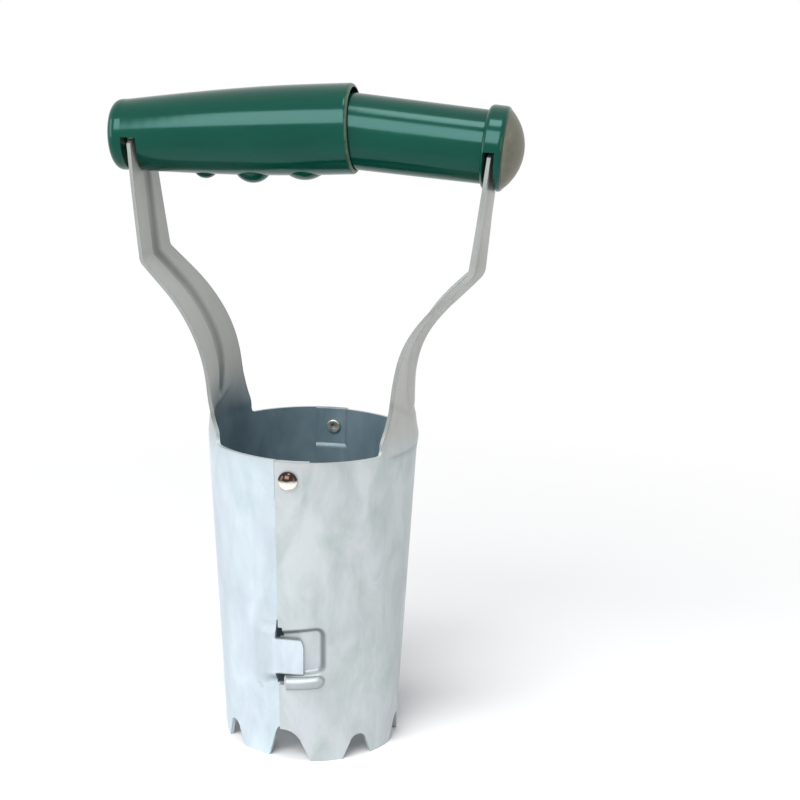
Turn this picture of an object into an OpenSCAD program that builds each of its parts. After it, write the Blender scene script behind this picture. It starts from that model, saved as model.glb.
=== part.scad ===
// Seedling transplanter: two pressed steel half cups, each with its own strap arm,
// turn on two rivets; squeezing the two grips together opens the cup at the bottom.
// The origin is on the cup's axis, at the level of the tooth tips. The grips lie along X
// and the rivets' common axis lies along Y. The left half is the right half turned half round.

/* [Cup] */
// Outer radius of a half cup at the tooth tips
cup_bottom_r = 29.5; // [24:0.5:36]
// Outer radius of a half cup at the rim
cup_rim_r = 35.15; // [31:0.05:42]
// Height of the rim above the tooth tips
cup_h = 105; // [95:1:130]
// Thickness of the steel sheet
sheet_t = 1.2; // [0.9:0.1:1.5]
// Angle that the outer lap reaches past the front centre line
outer_lap_angle = 7.3; // [5:0.1:9]
// Angle that the inner lap reaches past the front centre line
inner_lap_angle = 10.6; // [9:0.1:13]
// Gap between the two laps
lap_gap = 1.0; // [0.8:0.1:1.4]

/* [Teeth] */
// Number of teeth on each half
tooth_count = 4; // [3:1:5]
// Angle from the front centre line to the middle of the first tooth
tooth_first = 23; // [20:0.5:26]
// Angle from the middle of one tooth to the next
tooth_pitch = 43.5; // [41:0.5:45]
// Width of the notch between two teeth, at the tips
notch_w = 11.4; // [9:0.1:13]
// Height of the notch between two teeth
notch_h = 8.2; // [6:0.1:10]
// Radius of the round top of a notch
notch_r = 3.2; // [2:0.1:3.6]
// Height of the larger notch at each seam
seam_notch_h = 11.2; // [9:0.1:13]

/* [Rivets] */
// Height of the rivets' common axis
pivot_z = 99; // [92:0.5:100]
// Radius of a rivet's shank
rivet_r = 2; // [1.5:0.1:2.5]
// Running clearance of the shank in its holes
rivet_clear = 0.06; // [0.03:0.01:0.1]
// Radius of a rivet's domed head
rivet_head_r = 3.2; // [2.8:0.1:3.8]
// Height of a rivet's domed head
rivet_head_h = 2.4; // [1.8:0.1:3]
// Outward step of the pad round the hole in the inner lap
pad_step = 0.6; // [0.3:0.1:0.7]
// Height of that pad below the rim
pad_h = 12.6; // [10:0.1:15]
// Angle that the pad reaches on the far side of the rivet
pad_angle = 9.5; // [7:0.5:12]

/* [Lock tab and pocket] */
// Height of the tab's lower edge
tab_z = 31.3; // [28:0.1:36]
// Height of the tab, from its lower to its upper edge
tab_h = 12.5; // [8:0.5:15]
// Angle that the tab reaches past the front centre line
tab_angle = 7.4; // [5:0.1:8]
// Depth of the pocket that the tab slides in
pocket_depth = 1.9; // [1.6:0.1:2.2]
// Angle from the front centre line to the pocket's closed end
pocket_angle = 20.5; // [17:0.5:24]
// Height of the pocket above the tab's upper edge
pocket_over = 4.2; // [3:0.1:5]
// Gap between the tab and the pocket, all round
tab_gap = 0.35; // [0.25:0.05:0.5]
// Angle where the embossed root of the tab leaves the wall
emboss_angle = 32; // [26:1:40]
// Height of the embossed root above and below the tab
emboss_over = 6.5; // [5:0.5:9]
// Radius of the half round bead under the pocket
bead_r = 2.2; // [1.6:0.1:2.6]
// Length of that bead
bead_len = 13; // [9:0.5:15]

/* [Strap arms] */
// Height where the arm starts to lean out
arm_start_z = 124; // [118:1:130]
// Radius of the arm's outward curve
arm_curve_r = 48; // [38:1:60]
// Lean of the arm at the end of the curve, from upright
arm_out_angle = 44; // [36:1:48]
// Length of the straight stretch between the curve and the bend
arm_straight = 9; // [6:0.5:14]
// Radius of the bend below the grip
arm_bend_r = 4; // [3:0.5:7]
// Lean of the arm's top stretch, from upright
arm_top_angle = 6.7; // [5:0.1:8]
// Height of the eye at the arm's top
eye_z = 203.15; // [196:0.05:212]
// Width of the arm where it leaves the rim
arm_root_w = 43; // [38:1:47]
// Width of the arm at the bend
arm_bend_w = 30.5; // [27:0.5:34]
// Width of the arm at the eye
arm_top_w = 24; // [22:0.5:26]
// Radius of the arm's round end
eye_end_r = 8.8; // [7:0.1:9.5]
// Radius of the screw hole in the arm's round end
eye_hole_r = 2.2; // [2.1:0.1:2.6]
// Radius of the fillet between the arm and the rim
arm_fillet = 1.6; // [1:0.1:2.5]
// Height of the pressed rib at the bend
rib_h = 2.6; // [1.5:0.1:3]
// Height of the rib where it enters the grip
rib_top_h = 1.2; // [0.6:0.1:1.5]
// Width of the rib
rib_w = 10; // [7:0.5:12]
// Height where the rib starts, under the surface
rib_start_z = 112; // [110:1:115]
// Lean of the rib's straight start, from upright
rib_start_lean = 13; // [11:0.5:15]

/* [Outer grip] */
// Rise of the outer grip towards its mouth
outer_tilt = 3.55; // [3.2:0.05:4]
// Length from the eye to the mouth
outer_len = 72.5; // [66:0.5:78]
// Radius at the closed end
outer_end_r = 11.6; // [11:0.1:12.5]
// Largest radius, near the mouth
outer_max_r = 14.65; // [14.4:0.05:16]
// Radius of the bore that the inner grip slides in
outer_bore_r = 13.4; // [13.3:0.05:13.6]
// Depth of that bore
outer_bore_depth = 30; // [28:1:34]
// Radius of the narrow part of the bore, which holds the spring
spring_bore_r = 9.6; // [9:0.1:10]
// Distance from the eye to the floor of that narrow part, which the screw runs into
spring_floor = 10.5; // [9.5:0.5:12]
// Radius of the rounded lip at the mouth
lip_r = 1.2; // [0.8:0.1:1.2]
// Distances from the mouth to the three finger nubs
nub_at = [17, 34.5, 50.5];
// Widths of the three finger nubs
nub_w = [10.6, 10.7, 6.8];
// Heights of the three finger nubs
nub_h = [1.6, 2.6, 1.6];
// Thickness of the left end cap
end_cap_t = 6.55; // [5:0.05:8]

/* [Inner grip] */
// Rise of the inner grip towards the outer grip
inner_tilt = 4.6; // [4.3:0.05:4.8]
// Radius of the tube next to the flange
inner_end_r = 11.85; // [11.4:0.05:12.1]
// Radius of the tube where it enters the outer grip
inner_mouth_r = 12.25; // [11.9:0.05:12.3]
// Distance from the eye to the outer grip's mouth
inner_shown = 43.5; // [40:0.5:47]
// Length of tube inside the outer grip at rest
inner_overlap = 10; // [7:0.5:11]
// Radius of the flange
flange_r = 13.7; // [12.8:0.1:15]
// Length of the flange on the tube's side of the eye
flange_in = 2.9; // [2.2:0.1:4]
// Length of the flange on the cap's side of the eye
flange_out = 4; // [3.6:0.1:6]
// Radius of the flange's rounded edges
flange_round = 1.6; // [0.8:0.1:2]
// Wall of the inner grip's tube
inner_wall = 1.8; // [1.4:0.1:2.4]
// Base radius of the domed end cap
dome_r = 12.5; // [11.5:0.1:12.6]
// Height of the domed end cap
dome_h = 5.4; // [3:0.1:6]
// Distance from the right cap's edge in to its skirt
skirt_in = 2.7; // [2.2:0.1:3]
// Length of that skirt inside the flange
skirt_len = 0.9; // [0.6:0.1:1.2]

/* [Screws and slots] */
// Radius of a grip screw's shank
screw_r = 1.9; // [1.5:0.1:2]
// Length of a grip screw's shank
screw_len = 12; // [9:1:14]
// Radius of a grip screw's head
screw_head_r = 3.8; // [3:0.1:4.2]
// Height of a grip screw's head
screw_head_h = 2; // [1.4:0.1:2.2]
// Room in the slot on the outer side of the arm
slot_out = 2.3; // [2:0.1:2.6]
// Clearance between the arm and the rest of its slot
slot_gap = 0.15; // [0.1:0.05:0.3]

/* [Return spring] */
// Outer radius of the coil
coil_r = 8.6; // [7.5:0.1:9]
// Thickness of the wire
wire_d = 1.4; // [1:0.1:1.8]
// Number of turns
coil_turns = 9; // [6:1:12]
// Gap between the coil's ends and their seats
coil_gap = 0.2; // [0.1:0.05:0.4]

/* [Hidden] */
$fn = 64;

steel = [0.78, 0.82, 0.85];
bright = [0.93, 0.92, 0.86];
green = [0.02, 0.33, 0.26];
dull = [0.50, 0.49, 0.42];
over = 1;

// Half of the offset between the two halves' axes, which nests the laps
lap_shift = (sheet_t + lap_gap) / 2;
cone_slope = (cup_rim_r - cup_bottom_r) / cup_h;
lap_start = -outer_lap_angle;
lap_end = 180 + inner_lap_angle;
pad_z = cup_h - pad_h;
pocket_z0 = tab_z - tab_gap;
pocket_z1 = tab_z + tab_h + pocket_over;
pocket_wall = sheet_t - 0.2;
tab_step = 2 * lap_shift - tab_gap;
window_gap = 0.8;
window_z0 = pocket_z0 - pocket_wall - window_gap;
window_z1 = pocket_z1 + pocket_wall + window_gap;
emboss_z0 = tab_z - emboss_over;
emboss_z1 = tab_z + tab_h + emboss_over;

// The arm's path in the plane of X and Z, as centre points of the sheet
path_x0 = cup_rim_r - sheet_t / 2;
curve_x1 = path_x0 + arm_curve_r * (1 - cos(arm_out_angle));
curve_z1 = arm_start_z + arm_curve_r * sin(arm_out_angle);
bend_x = curve_x1 + arm_straight * sin(arm_out_angle);
bend_z = curve_z1 + arm_straight * cos(arm_out_angle);
bend_cut = arm_bend_r * tan((arm_out_angle - arm_top_angle) / 2);
eye_x = bend_x + (eye_z - bend_z) * tan(arm_top_angle);

function outer_r(z) = cup_bottom_r + cone_slope * z;
function ease(t) = let (u = min(1, max(0, t))) u * u * (3 - 2 * u);
function mix(a, b, t) = a + (b - a) * t;

// A ring sector about the half's own axis; angles are counted from the front centre line
module sector(from, to, outline) {
    rotate([0, 0, from - 90])
        rotate_extrude(angle = to - from)
            polygon(outline);
}

// The outline of a wall of the cup between two heights, moved outwards by step
function wall_outline(z0, z1, step, t) = [
    [outer_r(z0) + step - t, z0],
    [outer_r(z0) + step, z0],
    [outer_r(z1) + step, z1],
    [outer_r(z1) + step - t, z1]];

// The space inside a cone, between two heights
function core_outline(z0, z1, step) = wall_outline(z0, z1, step, 8);

// A flat shape pushed outwards from the half's axis at an angle from the front centre line
module punch(angle) {
    rotate([0, 0, angle - 90])
        rotate([90, 0, 90])
            linear_extrude(cup_rim_r + 10)
                children();
}

module notch_shape() {
    translate([0, notch_h - notch_r])
        circle(notch_r);
    polygon([
        [-notch_w / 2 - 0.5, -over],
        [notch_w / 2 + 0.5, -over],
        [notch_r * 0.97, notch_h - notch_r * 0.8],
        [-notch_r * 0.97, notch_h - notch_r * 0.8]]);
}

// The seam notch in the outer lap: a large round top that slopes down to the first tooth
module seam_notch_outer() {
    top_r = seam_notch_h * 0.58;
    reach = cup_bottom_r * sin(tooth_first - 10.3 + 5.4);
    translate([0, seam_notch_h - top_r])
        circle(top_r);
    polygon([
        [-reach, -over],
        [reach + 0.4, -over],
        [top_r * 0.93, seam_notch_h - top_r * 0.63],
        [-reach, seam_notch_h - top_r * 0.63]]);
}

// The seam notch in the inner lap: a steep straight edge, then a level one
module seam_notch_inner() {
    edge = -cup_bottom_r * sin(16.1 - 5.4);
    polygon([
        [edge - 0.3, -over],
        [edge + 2.9, seam_notch_h - 1],
        [edge + 4, seam_notch_h + 0.3],
        [edge + 30, seam_notch_h + 0.3],
        [edge + 30, -over]]);
}

// The cup's half wall with its two laps, and the window behind the other half's pocket
module cup_wall() {
    difference() {
        sector(lap_start, lap_end, wall_outline(0, cup_h, 0, sheet_t));
        sector(180 - outer_lap_angle - 1.5, lap_end + 2, [
            [outer_r(window_z0) - 5, window_z0],
            [outer_r(window_z0) + 5, window_z0],
            [outer_r(window_z1) + 5, window_z1],
            [outer_r(window_z1) - 5, window_z1]]);
        sector(180 - pad_angle, lap_end + 2, [
            [outer_r(pad_z) - 5, pad_z - 1.2],
            [outer_r(pad_z) + 5, pad_z - 1.2],
            [outer_r(cup_h) + 5, cup_h + over],
            [outer_r(cup_h) - 5, cup_h + over]]);
    }
    // the riveting pad steps outwards over a ledge, and its foot is buried in the wall
    sector(180 - pad_angle - 1.2, lap_end - 0.05, [
        [outer_r(pad_z) - sheet_t * 0.8, pad_z - 2.2],
        [outer_r(pad_z) - sheet_t * 0.3, pad_z - 2.2],
        [outer_r(pad_z) - sheet_t * 0.2, pad_z - 1.1],
        [outer_r(pad_z) + pad_step, pad_z],
        [outer_r(cup_h) + pad_step, cup_h - 0.05],
        [outer_r(cup_h) + pad_step - sheet_t, cup_h - 0.05],
        [outer_r(pad_z) + pad_step - sheet_t, pad_z + 0.5],
        [outer_r(pad_z) - sheet_t * 0.8, pad_z - 1]]);
}

// The embossed root turns about an axis that is moved sideways, so that it leaves the wall
// at a small angle and reaches the tab's level at the seam
emboss_r = outer_r(tab_z + tab_h / 2);
emboss_shift = 1.06 * tab_step / sin(emboss_angle - outer_lap_angle);
emboss_dir = 180 - emboss_angle + acos(emboss_shift / 2 / emboss_r);
// The angle about the moved axis of a place that lies at angle a about the half's own axis
function emboss_turn(a) = a - asin(emboss_shift * sin(emboss_dir - a) / emboss_r);
module emboss_axis() {
    rotate([0, 0, emboss_dir - 90])
        translate([emboss_shift, 0, 0])
            rotate([0, 0, 90 - emboss_dir])
                children();
}

module emboss_lump() {
    rise = emboss_over;
    difference() {
        emboss_axis()
            sector(emboss_turn(180 - emboss_angle - 3), emboss_turn(180 - outer_lap_angle - 0.6), [
                [outer_r(emboss_z0) - 5, emboss_z0],
                [outer_r(emboss_z0) - tab_step, emboss_z0],
                [outer_r(emboss_z0 + rise), emboss_z0 + rise],
                [outer_r(emboss_z1 - rise), emboss_z1 - rise],
                [outer_r(emboss_z1) - tab_step, emboss_z1],
                [outer_r(emboss_z1) - 5, emboss_z1]]);
        sector(180 - emboss_angle - 12, 185, core_outline(emboss_z0 - 2, emboss_z1 + 2, -sheet_t / 2));
    }
}

module emboss_hollow() {
    emboss_axis()
        sector(emboss_turn(180 - emboss_angle - 4), emboss_turn(181),
            core_outline(tab_z + 0.8, tab_z + tab_h - 0.8, -sheet_t));
}

// The tab continues the embossed root over the other half's edge and into its pocket
module tab() {
    sector(180 - outer_lap_angle - 1, 180 + tab_angle,
        wall_outline(tab_z, tab_z + tab_h, tab_step, sheet_t));
}

// The pocket's floor and walls, pressed inwards behind the outer lap
module pocket_pan() {
    floor_r = -pocket_depth - pocket_wall;
    sector(lap_start, pocket_angle + 2, [
        [outer_r(pocket_z0) - sheet_t / 2, pocket_z0 - pocket_wall],
        [outer_r(pocket_z0) + floor_r, pocket_z0 - pocket_wall],
        [outer_r(pocket_z1) + floor_r, pocket_z1 - 1],
        [outer_r(pocket_z1) - sheet_t / 2, pocket_z1 + pocket_wall]]);
}

module pocket_space() {
    sector(lap_start - 2, pocket_angle, [
        [outer_r(pocket_z0) - pocket_depth, pocket_z0],
        [outer_r(pocket_z0) + over, pocket_z0],
        [outer_r(pocket_z1) + over, pocket_z1 + 1],
        [outer_r(pocket_z1) - pocket_depth, pocket_z1 - 1.7]]);
    // small reliefs at the lap's edge, above and below the tab's root
    sector(lap_start - 2, lap_start + 3.4, wall_outline(pocket_z0 - 3.6, pocket_z0 + over, over, 5));
    sector(lap_start - 2, lap_start + 2.6, wall_outline(tab_z + tab_h, pocket_z1 - 0.2, over, 5));
}

// A half round bead under the pocket, with one rounded end
bead_profile = concat(
    [[0, 0], [bead_r * 0.2, 0]],
    [for (a = [15:15:90]) [bead_r * sin(a), bead_r * (1 - cos(a))]],
    [[bead_r, bead_len], [0, bead_len]]);
module bead() {
    angle = 9.4;
    z = pocket_z0 - 2.35;
    rotate([0, 0, angle - 90])
        translate([outer_r(z) - 0.3, 0, z])
            rotate([90, 0, 0])
                difference() {
                    translate([0, 0, -bead_len / 2])
                        rotate_extrude()
                            polygon(bead_profile);
                    translate([-10.5, -10, -bead_len])
                        cube([10, 20, 2 * bead_len]);
                }
}

// The arm's side profile: points [x, z, lean of the sheet] from inside the cup's wall, just
// under the rim, to above the eye
curve_steps = 12;
bend_steps = 4;
bend_turn = arm_out_angle - arm_top_angle;
bend_cx = bend_x - bend_cut * sin(arm_out_angle) - arm_bend_r * cos(arm_out_angle);
bend_cz = bend_z - bend_cut * cos(arm_out_angle) + arm_bend_r * sin(arm_out_angle);
arm_end = eye_end_r + 2;
path = concat(
    [[path_x0 - 1.4 * cone_slope, cup_h - 1.5, 0], [path_x0, cup_h - 0.1, 0]],
    [for (i = [0:curve_steps])
        let (a = arm_out_angle * i / curve_steps)
        [path_x0 + arm_curve_r * (1 - cos(a)), arm_start_z + arm_curve_r * sin(a), a]],
    [for (i = [0:bend_steps])
        let (a = arm_out_angle - bend_turn * i / bend_steps)
        [bend_cx + arm_bend_r * cos(a), bend_cz - arm_bend_r * sin(a), a]],
    [[eye_x + arm_end * sin(arm_top_angle), eye_z + arm_end * cos(arm_top_angle), arm_top_angle]]);

// The arm's sheet is a hair thinner than the wall, where the pressing stretched it
arm_t = sheet_t - 0.08;
// The profile's outline between two depths, counted outwards from the middle of the sheet
function path_side(d) = [for (p = path) [p[0] + d * cos(p[2]), p[1] - d * sin(p[2])]];
function path_outline(d0, d1) = let (a = path_side(d0), b = path_side(d1), n = len(path))
    concat(a, [for (i = [n - 1:-1:0]) b[i]]);

// Half width of the arm at a height, and the way its middle moves to the grips' plane
function arm_half(z) = z < bend_z
    ? mix(arm_root_w, arm_bend_w, pow(ease((z - cup_h) / (bend_z + 8 - cup_h)), 1.2)) / 2
    : mix(arm_bend_w, arm_top_w, pow((z - bend_z) / (eye_z - bend_z), 0.8)) / 2;
function arm_y(z) = -lap_shift * (1 - ease((z - cup_h) / (bend_z - cup_h)));
side_zs = concat([for (i = [1:8]) mix(cup_h + arm_fillet, bend_z, i / 8)],
    [for (i = [1:4]) mix(bend_z, eye_z - 0.5, i / 4)]);
fillet_angles = [0, 22, 45, 67, 90];
// One side of the front outline: the fillet, the long side, then the round end
function arm_side(s) = concat(
    [[s * (arm_half(cup_h) + arm_fillet) - lap_shift, cup_h - 2]],
    [for (a = fillet_angles)
        [s * (arm_half(cup_h) + arm_fillet * (1 - sin(a))) - lap_shift,
            cup_h - 0.03 + arm_fillet * (1 - cos(a))]],
    [for (z = side_zs) [s * arm_half(z) + arm_y(z), z]],
    [for (a = [0:15:75])
        [s * eye_end_r * cos(a), eye_z - 0.5 + (eye_end_r + 0.5) * sin(a) * cos(arm_top_angle)]]);
function reversed(v) = [for (i = [len(v) - 1:-1:0]) v[i]];

module arm_front() {
    rotate([90, 0, 90])
        linear_extrude(2 * cup_rim_r)
            polygon(concat(arm_side(1), reversed(arm_side(-1))));
}

// A round bar along the arm: a straight start that rises out of the sheet, an arc about
// the same centre as the arm's curve, and two more straight lines
rib_r = rib_w / 2;
rib_deep = rib_r - sheet_t / 2;
rib_full = rib_deep - rib_h;
rib_top = rib_deep - rib_top_h;
rib_curve_r = arm_curve_r + rib_full;
function rib_at(a) = [path_x0 + arm_curve_r - rib_curve_r * cos(a), arm_start_z + rib_curve_r * sin(a)];
rib_a = rib_at(rib_start_lean - 4);
rib_b = rib_at(rib_start_lean + 4);
rib_u = (rib_b - rib_a) / norm(rib_b - rib_a);
rib_p0 = rib_a - rib_u * (rib_a[1] - rib_start_z) / rib_u[1];
rib_p1 = [curve_x1 - rib_full * cos(arm_out_angle), curve_z1 + rib_full * sin(arm_out_angle)];
bend_mean = (arm_out_angle + arm_top_angle) / 2;
rib_mid = [bend_x - rib_full * cos(bend_mean) / cos(bend_turn / 2),
    bend_z + rib_full * sin(bend_mean) / cos(bend_turn / 2)];
rib_end = [eye_x - rib_top * cos(arm_top_angle) - 12 * sin(arm_top_angle),
    eye_z + rib_top * sin(arm_top_angle) - 12 * cos(arm_top_angle)];
module rib_bar(r) {
    // the straight stretches are a hair thicker than the arc between them, and overlap its ends
    full = r + 0.15;
    bar(rib_p0, rib_b + 2.2 * rib_u, full);
    translate([path_x0 + arm_curve_r, 0, arm_start_z])
        rotate([90, 0, 0])
            rotate([0, 0, 177 - arm_out_angle])
                rotate_extrude(angle = arm_out_angle + 3 - rib_start_lean)
                    translate([rib_curve_r, 0])
                        circle(r, $fn = 32);
    bar(rib_p1, rib_mid, full);
    translate([rib_mid[0], 0, rib_mid[1]])
        sphere(full);
    bar(rib_mid, rib_end, full);
}

// A cylinder from one point of the plane of X and Z to another
module bar(from, to, r) {
    translate([from[0], 0, from[1]])
        rotate([0, atan2(to[0] - from[0], to[1] - from[1]), 0])
            cylinder(r = r, h = norm(to - from));
}

// The arm: the sheet flares like the cup's wall and carries a hollow pressed rib
module arm_blank() {
    intersection() {
        translate([0, -lap_shift, 0])
            sector(45, 135, path_outline(-arm_t / 2, arm_t / 2));
        arm_front();
    }
}

module arm() {
    difference() {
        union() {
            arm_blank();
            intersection() {
                rib_bar(rib_r);
                translate([0, -lap_shift, 0])
                    sector(70, 110, path_outline(-0.1, 6));
            }
        }
        rib_bar(rib_r - sheet_t);
    }
}

// The eye's own frame: Z runs up the arm's top stretch and X points out of the grip's end
module at_eye() {
    translate([eye_x, 0, eye_z])
        rotate([0, arm_top_angle, 0])
            children();
}

// A grip's own frame, seen as on the right: Z runs from the eye towards the other grip
module at_grip(tilt) {
    translate([eye_x, 0, eye_z])
        rotate([0, tilt - 90, 0])
            children();
}

module shell() {
    difference() {
        union() {
            cup_wall();
            emboss_lump();
            pocket_pan();
        }
        emboss_hollow();
        pocket_space();
        for (i = [0:tooth_count - 2])
            punch(tooth_first + tooth_pitch * (i + 0.5))
                notch_shape();
        punch(-5.4)
            seam_notch_outer();
        punch(174.6)
            seam_notch_inner();
        translate([0, 0, pivot_z])
            rotate([90, 0, 0])
                cylinder(r = rivet_r + rivet_clear, h = 4 * cup_rim_r, center = true);
    }
    tab();
    bead();
}

module half() {
    union() {
        translate([0, -lap_shift, 0])
            shell();
        difference() {
            arm();
            at_eye()
                rotate([0, 90, 0])
                    cylinder(r = eye_hole_r, h = 20, center = true);
        }
    }
}

module left_half() {
    color(steel)
        rotate([0, 0, 180])
            half();
}

module right_half() {
    color(steel)
        half();
}

// A semi-tubular rivet: a domed head outside and a rolled hollow tail inside
rivet_face = outer_r(pivot_z) + lap_shift + 0.3;
rivet_grip = 2 * sheet_t + lap_gap - pad_step + 0.75;
module rivet() {
    dome = (pow(rivet_head_r, 2) + pow(rivet_head_h - 0.5, 2)) / (2 * (rivet_head_h - 0.5));
    translate([0, -rivet_face, pivot_z])
        rotate([90, 0, 0]) {
            cylinder(r = rivet_head_r, h = 0.5);
            intersection() {
                translate([0, 0, rivet_head_h - dome])
                    sphere(dome);
                translate([0, 0, 0.4])
                    cylinder(r = rivet_head_r, h = rivet_head_h);
            }
            difference() {
                union() {
                    translate([0, 0, -rivet_grip - 0.9])
                        cylinder(r = rivet_r, h = rivet_grip + 1);
                    translate([0, 0, -rivet_grip - 0.9])
                        rotate_extrude()
                            translate([rivet_r - 0.1, 0.45])
                                circle(0.45, $fn = 24);
                }
                translate([0, 0, -rivet_grip - 2])
                    cylinder(r = rivet_r * 0.55, h = 3);
            }
        }
}

module front_rivet() {
    color(bright)
        rivet();
}

module back_rivet() {
    color(bright)
        rotate([0, 0, 180])
            rivet();
}

// The slot that an arm stands in: full width up to the eye's level, then the round end
module arm_slot(reach) {
    intersection() {
        translate([0, -lap_shift, 0])
            sector(60, 120, path_outline(-sheet_t / 2 - slot_gap, sheet_t / 2 + reach));
        union() {
            translate([0, -20, eye_z - 40])
                cube([100, 40, 40.3]);
            translate([0, 0, eye_z - 0.2])
                rotate([0, 90, 0])
                    cylinder(r = eye_end_r + slot_gap + 0.2, h = 100);
        }
    }
}

module screw_hole() {
    at_eye()
        rotate([0, -90, 0])
            cylinder(r = screw_r + 0.02, h = screw_len + sheet_t + screw_r);
}

// The way in for the screw, from the grip's end
module screw_way() {
    at_eye()
        rotate([0, 90, 0])
            cylinder(r = screw_head_r + 0.5, h = 20);
}

// The outer grip's radius, counted from its closed end
outer_end = sheet_t / 2 + slot_out;
outer_swell = 63;
function outer_grip_r(z) = outer_end_r
    + (outer_max_r - outer_end_r) * sin(90 * min(1, (z + outer_end) / outer_swell));
outer_steps = 14;
outer_skin = concat(
    [for (i = [0:outer_steps])
        let (z = mix(-outer_end, outer_swell - outer_end, i / outer_steps))
        [outer_grip_r(z), z]],
    [for (a = [0:15:90])
        [outer_max_r - lip_r + lip_r * cos(a), outer_len - lip_r + lip_r * sin(a)]]);

module outer_grip_body() {
    at_grip(outer_tilt)
        rotate_extrude()
            polygon(concat([[0, -outer_end]], outer_skin, [[0, outer_len]]));
}

module outer_grip_shape() {
    neck = outer_bore_r - spring_bore_r;
    difference() {
        union() {
            outer_grip_body();
            at_grip(outer_tilt)
                for (i = [0:2]) {
                    w = nub_w[i] / 2;
                    h = nub_h[i];
                    ball = (w * w + h * h) / (2 * h);
                    z = outer_len - nub_at[i];
                    translate([-(outer_grip_r(z) + h - ball), 0, z])
                        sphere(ball);
                }
        }
        at_grip(outer_tilt) {
            translate([0, 0, outer_len - outer_bore_depth])
                cylinder(r = outer_bore_r, h = outer_bore_depth + over);
            translate([0, 0, outer_len - outer_bore_depth - neck * 3])
                cylinder(r1 = spring_bore_r, r2 = outer_bore_r, h = neck * 3);
            translate([0, 0, spring_floor])
                cylinder(r = spring_bore_r, h = outer_len - spring_floor);
        }
        arm_slot(20);
        screw_hole();
    }
}

module outer_grip() {
    color(green)
        rotate([0, 0, 180])
            outer_grip_shape();
}

// The inner grip: a tube with a rounded flange, closed at the end that meets the spring
inner_nose = inner_shown + inner_overlap;
function inner_r(z) = mix(inner_end_r, inner_mouth_r, min(1, z / inner_shown));
module inner_grip() {
    color(green)
        difference() {
            at_grip(inner_tilt) {
                rotate_extrude()
                    polygon([
                        [0, -flange_out + 0.2],
                        [inner_end_r, -flange_out + 0.2],
                        [inner_r(0), 0],
                        [inner_r(inner_shown), inner_shown],
                        [inner_r(inner_shown), inner_nose - 1.5],
                        [inner_r(inner_shown) - 1.5, inner_nose],
                        [0, inner_nose]]);
                rotate_extrude()
                    polygon(concat(
                        [[0, -flange_out]],
                        [for (a = [-90:15:0])
                            [flange_r - flange_round + flange_round * cos(a),
                                -flange_out + flange_round + flange_round * sin(a)]],
                        [for (a = [0:15:90])
                            [flange_r - flange_round + flange_round * cos(a),
                                flange_in - flange_round + flange_round * sin(a)]],
                        [[0, flange_in]]));
            }
            at_grip(inner_tilt)
                translate([0, 0, screw_len + 3])
                    cylinder(r = inner_end_r - inner_wall, h = inner_nose - 2 - screw_len - 3);
            arm_slot(slot_out);
            screw_hole();
            screw_way();
            at_grip(inner_tilt)
                translate([0, 0, -flange_out - over])
                    cylinder(r = dome_skirt_r + 0.05, h = over + skirt_len + 0.1);
        }
}

// The left end cap: a low domed disc with a short half ring that plugs into the sleeve
module left_end_cap() {
    crown_h = 1.6;
    edge_r = 3;
    color(green)
        rotate([0, 0, 180])
            at_grip(outer_tilt)
                difference() {
                    translate([0, 0, -outer_end - end_cap_t])
                        rotate_extrude()
                            polygon(concat(
                                [[0, end_cap_t], [0, 0]],
                                [[(outer_end_r - edge_r) / 2, crown_h * 0.25]],
                                [for (a = [15:15:90])
                                    [outer_end_r - edge_r + edge_r * sin(a),
                                        crown_h + edge_r - edge_r * cos(a)]],
                                [[outer_end_r, end_cap_t]]));
                    // room for the screw's head
                    translate([0, 0, -outer_end - 0.8])
                        cylinder(r = screw_head_r + 0.4, h = 2);
                }
}

// The right end cap: a thin domed steel cap with a skirt that plugs into the flange
dome_skirt_r = dome_r - skirt_in;
module right_end_cap() {
    ball = (pow(dome_r, 2) + pow(dome_h, 2)) / (2 * dome_h);
    color(dull)
        at_grip(inner_tilt)
            translate([0, 0, -flange_out]) {
                difference() {
                    intersection() {
                        translate([0, 0, ball - dome_h])
                            sphere(ball, $fn = 96);
                        translate([0, 0, -2 * dome_h])
                            cylinder(r = dome_r, h = 2 * dome_h);
                    }
                    translate([0, 0, ball - dome_h + sheet_t])
                        sphere(ball, $fn = 96);
                }
                difference() {
                    translate([0, 0, -sheet_t])
                        cylinder(r = dome_skirt_r, h = skirt_len + sheet_t);
                    translate([0, 0, -2.5])
                        cylinder(r = dome_skirt_r - 1, h = skirt_len + 5);
                }
            }
}

// A pan headed screw through the arm's eye, with its head on the arm's outer face
module grip_screw() {
    dome = (pow(screw_head_r, 2) + pow(1, 2)) / 2;
    at_eye()
        translate([sheet_t / 2, 0, 0])
            rotate([0, 90, 0])
                difference() {
                    union() {
                        translate([0, 0, -sheet_t - screw_len])
                            cylinder(r = screw_r, h = screw_len + sheet_t + 0.5);
                        translate([0, 0, -sheet_t - screw_len - screw_r])
                            cylinder(r1 = 0.3, r2 = screw_r, h = screw_r);
                        cylinder(r = screw_head_r, h = screw_head_h - 1);
                        intersection() {
                            translate([0, 0, screw_head_h - dome])
                                sphere(dome);
                            translate([0, 0, screw_head_h - 1.2])
                                cylinder(r = screw_head_r, h = 2);
                        }
                    }
                    for (a = [0, 90])
                        rotate([0, 0, a])
                            translate([-2, -0.4, screw_head_h - 0.9])
                                cube([4, 0.8, 2]);
                }
}

module left_grip_screw() {
    color(bright)
        rotate([0, 0, 180])
            grip_screw();
}

module right_grip_screw() {
    color(bright)
        grip_screw();
}

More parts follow.
